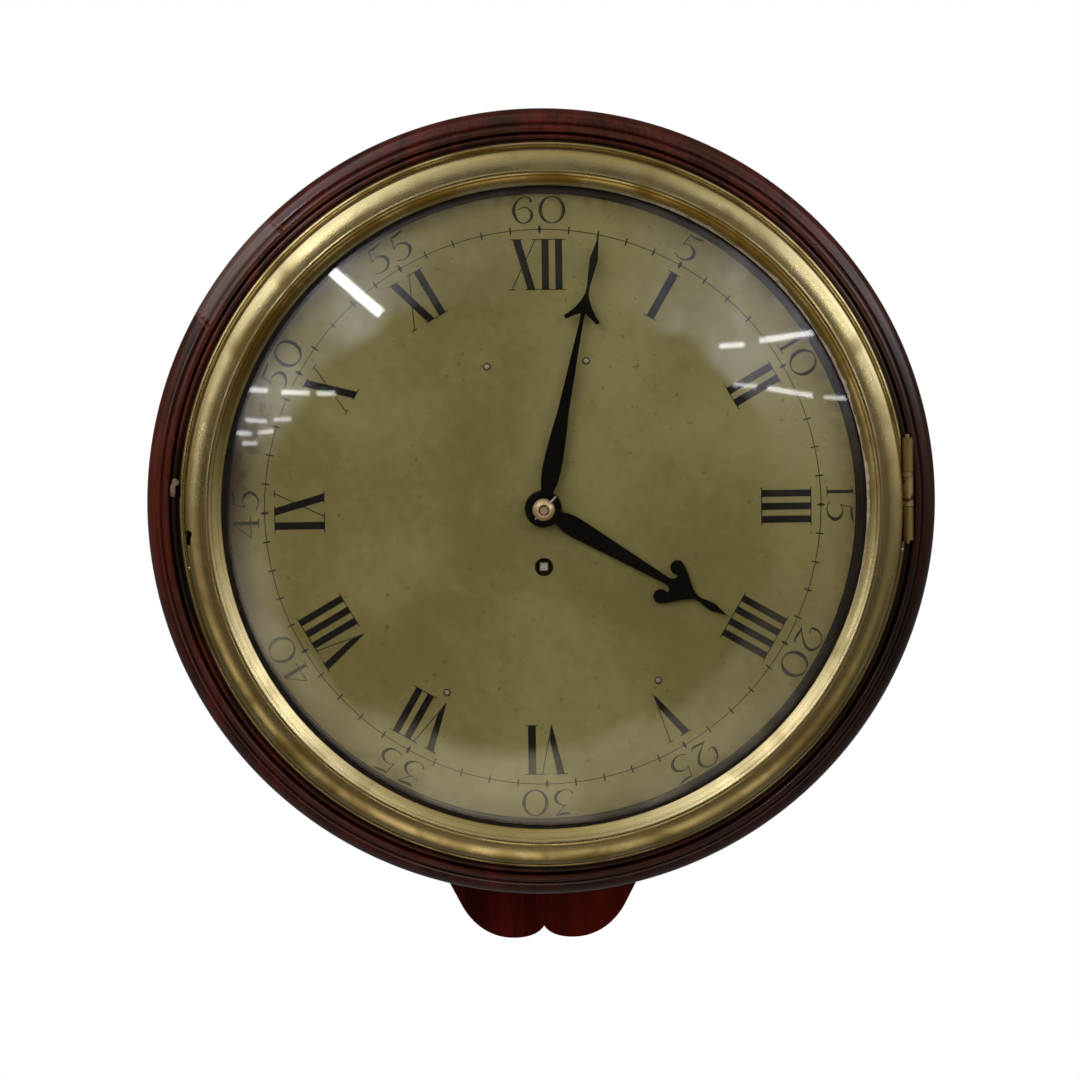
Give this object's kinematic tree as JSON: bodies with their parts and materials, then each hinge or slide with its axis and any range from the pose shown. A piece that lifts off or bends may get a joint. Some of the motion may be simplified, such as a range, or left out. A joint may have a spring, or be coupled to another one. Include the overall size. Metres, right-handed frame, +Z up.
{
  "type": "dial wall clock",
  "caption": "Round fusee dial wall clock: turned wooden surround, hinged brass bezel with convex glass, engraved dial, blued hands, and a box case with a pendulum movement.",
  "frame": {"origin": "on the wall plane, at the back of the backboard, level with the middle of the dial", "axes": "+Z up, the dial faces -Y, +X to the right of someone who looks at the dial"},
  "size_m": [0.3888, 0.1389, 0.4288],
  "materials": {
    "mahogany": "old polished mahogany",
    "dark_wood": "dark stained wood",
    "cast_brass": "worn cast brass",
    "movement_brass": "satin brass",
    "silvered_brass": "tarnished silvered brass",
    "blued_steel": "blued steel",
    "steel": "plain steel",
    "glass": "clear convex glass",
    "putty": "old putty",
    "gut": "gut line"
  },
  "bodies": {
    "case": {"surround": "mahogany", "batten_left": "dark_wood", "batten_right": "dark_wood", "peg_lower_left": "dark_wood", "peg_lower_right": "dark_wood", "peg_upper_left": "dark_wood", "peg_upper_right": "dark_wood", "backboard": "dark_wood", "hanging_plate": "movement_brass", "box_top": "dark_wood", "box_bottom": "dark_wood", "box_left": "dark_wood", "box_right": "dark_wood", "side_door_pin": "steel", "bottom_door_pin": "steel", "surround_hinge_leaf": "cast_brass", "bezel_hinge_pin": "steel", "dial": "silvered_brass", "dial_foot_lower_left": "movement_brass", "dial_foot_lower_right": "movement_brass", "dial_foot_upper_left": "movement_brass", "dial_foot_upper_right": "movement_brass", "front_plate": "movement_brass", "back_plate": "movement_brass", "pillar_lower_left": "movement_brass", "pillar_lower_right": "movement_brass", "pillar_upper_left": "movement_brass", "pillar_upper_right": "movement_brass", "barrel_arbor": "steel", "fusee_line": "gut", "back_cock": "movement_brass", "suspension_spring": "steel"},
    "bezel_door": {"bezel": "cast_brass", "glass": "glass", "glass_putty": "putty", "bezel_hinge_leaf": "cast_brass"},
    "lock_bolt": {"bezel_lock": "cast_brass"},
    "side_door_leaf": {"side_door": "dark_wood"},
    "bottom_door_leaf": {"bottom_door": "dark_wood"},
    "side_turn_button": {"side_door_button": "movement_brass"},
    "bottom_turn_button": {"bottom_door_button": "movement_brass"},
    "minute_hand_group": {"minute_hand": "blued_steel", "cannon_pinion": "steel"},
    "minute_wheel_group": {"minute_wheel": "movement_brass"},
    "hour_hand_group": {"hour_hand": "blued_steel", "hour_wheel": "movement_brass"},
    "escape_wheel_group": {"escape_wheel": "movement_brass"},
    "third_wheel_group": {"third_wheel": "movement_brass"},
    "centre_wheel_group": {"centre_wheel": "movement_brass", "hand_collet": "movement_brass", "hand_pin": "steel"},
    "great_wheel_group": {"great_wheel": "movement_brass"},
    "fusee_group": {"fusee": "movement_brass"},
    "barrel_group": {"barrel": "movement_brass", "mainspring": "blued_steel"},
    "pendulum": {"pendulum_rod": "steel", "pendulum_bob": "movement_brass"},
    "rating_nut_group": {"rating_nut": "movement_brass"},
    "anchor_group": {"anchor": "steel", "crutch": "steel"}
  },
  "joints": [
    {"name": "bezel_hinge", "type": "hinge", "parent": "case", "child": "bezel_door", "pos_m": [0.17875, -0.10755, 0.0065], "axis": [0, 0, 1], "range_deg": [0, 120]},
    {"name": "bezel_lock_turn", "type": "hinge", "parent": "bezel_door", "child": "lock_bolt", "pos_m": [-0.17266, -0.105, -0.0092], "axis": [0, -1, 0], "range_deg": [0, 90]},
    {"name": "side_door_hinge", "type": "hinge", "parent": "case", "child": "side_door_leaf", "pos_m": [0.082, -0.0243, -0.045], "axis": [0, 0, 1], "range_deg": [0, 95]},
    {"name": "side_button_turn", "type": "hinge", "parent": "case", "child": "side_turn_button", "pos_m": [0.088, -0.0598, -0.045], "axis": [1, 0, 0], "range_deg": [0, 90]},
    {"name": "bottom_door_hinge", "type": "hinge", "parent": "case", "child": "bottom_door_leaf", "pos_m": [0, -0.0303, -0.16], "axis": [1, 0, 0], "range_deg": [0, 95]},
    {"name": "bottom_button_turn", "type": "hinge", "parent": "case", "child": "bottom_turn_button", "pos_m": [0, -0.0818, -0.166], "axis": [0, 0, 1], "range_deg": [0, 90]},
    {"name": "minute_hand_turn", "type": "hinge", "parent": "case", "child": "minute_hand_group", "pos_m": [0, -0.11, 0], "axis": [0, 1, 0], "continuous": true},
    {"name": "minute_wheel_turn", "type": "hinge", "parent": "case", "child": "minute_wheel_group", "pos_m": [0.01966, -0.102, 0.01377], "axis": [0, 1, 0], "continuous": true},
    {"name": "hour_hand_turn", "type": "hinge", "parent": "case", "child": "hour_hand_group", "pos_m": [0, -0.11, 0], "axis": [0, 1, 0], "continuous": true},
    {"name": "escape_wheel_turn", "type": "hinge", "parent": "case", "child": "escape_wheel_group", "pos_m": [0, -0.067, 0.03939], "axis": [0, 1, 0], "continuous": true},
    {"name": "third_wheel_turn", "type": "hinge", "parent": "case", "child": "third_wheel_group", "pos_m": [0.0142, -0.077, 0.02332], "axis": [0, 1, 0], "continuous": true},
    {"name": "centre_wheel_turn", "type": "hinge", "parent": "case", "child": "centre_wheel_group", "pos_m": [0, -0.075, 0], "axis": [0, 1, 0], "continuous": true},
    {"name": "great_wheel_turn", "type": "hinge", "parent": "case", "child": "great_wheel_group", "pos_m": [0, -0.09, -0.0286], "axis": [0, 1, 0], "continuous": true},
    {"name": "winding", "type": "hinge", "parent": "case", "child": "fusee_group", "pos_m": [0, -0.08, -0.0286], "axis": [0, 1, 0], "range_deg": [0, 5400]},
    {"name": "barrel_turn", "type": "hinge", "parent": "case", "child": "barrel_group", "pos_m": [-0.03931, -0.074, -0.05612], "axis": [0, 1, 0], "range_deg": [0, 3840]},
    {"name": "pendulum_swing", "type": "hinge", "parent": "case", "child": "pendulum", "pos_m": [0, -0.032, 0.06399], "axis": [0, 1, 0], "range_deg": [-4, 4]},
    {"name": "rating_nut_turn", "type": "hinge", "parent": "pendulum", "child": "rating_nut_group", "pos_m": [0, -0.032, -0.1354], "axis": [0, 0, 1], "continuous": true},
    {"name": "anchor_swing", "type": "hinge", "parent": "case", "child": "anchor_group", "pos_m": [0, -0.067, 0.06399], "axis": [0, 1, 0], "range_deg": [-4, 4]}
  ],
  "couplings": [
    {"joint": "minute_wheel_turn", "follows": "minute_hand_turn", "ratio": -0.33333},
    {"joint": "hour_hand_turn", "follows": "minute_hand_turn", "ratio": 0.083333},
    {"joint": "third_wheel_turn", "follows": "escape_wheel_turn", "ratio": -0.083333},
    {"joint": "centre_wheel_turn", "follows": "escape_wheel_turn", "ratio": 0.0069444},
    {"joint": "great_wheel_turn", "follows": "escape_wheel_turn", "ratio": -0.0005787},
    {"joint": "barrel_turn", "follows": "winding", "ratio": 0.71},
    {"joint": "anchor_swing", "follows": "pendulum_swing", "ratio": 1}
  ]
}
